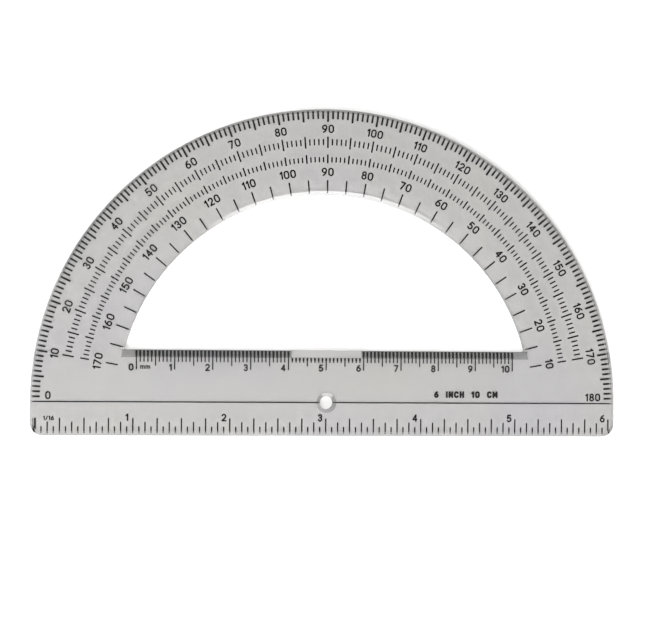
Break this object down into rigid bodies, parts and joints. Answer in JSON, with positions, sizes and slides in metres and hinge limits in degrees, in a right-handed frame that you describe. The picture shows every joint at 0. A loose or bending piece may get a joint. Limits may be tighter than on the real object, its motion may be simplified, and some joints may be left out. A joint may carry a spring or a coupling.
{
  "type": "protractor",
  "caption": "Clear flat half-circle protractor with a D-shaped ruler window, a vertex hole and printed degree, centimetre and inch scales.",
  "frame": {"origin": "centre of the vertex hole, on the face that rests on the paper", "axes": "+Z out of the front face, +X along the 0-180 line to the outer scale's 180, +Y to the 90 degree mark"},
  "size_m": [0.155, 0.0863, 0.002],
  "materials": {
    "clear_plastic": "clear moulded polystyrene, polished faces",
    "black_ink": "printed black ink, satin"
  },
  "bodies": {
    "root": {"plate": "clear_plastic", "outer_degree_ticks": "black_ink", "outer_five_degree_ticks": "black_ink", "middle_degree_ticks": "black_ink", "middle_five_degree_ticks": "black_ink", "inner_degree_ticks": "black_ink", "inner_five_degree_ticks": "black_ink", "window_degree_ticks": "black_ink", "outer_degree_numerals": "black_ink", "inner_degree_numerals": "black_ink", "zero_line": "black_ink", "millimetre_ticks": "black_ink", "five_millimetre_ticks": "black_ink", "centimetre_ticks": "black_ink", "centimetre_numerals": "black_ink", "millimetre_label": "black_ink", "sixteenth_inch_ticks": "black_ink", "eighth_inch_ticks": "black_ink", "quarter_inch_ticks": "black_ink", "inch_numerals": "black_ink", "sixteenths_label": "black_ink", "size_legend": "black_ink"}
  },
  "joints": []
}
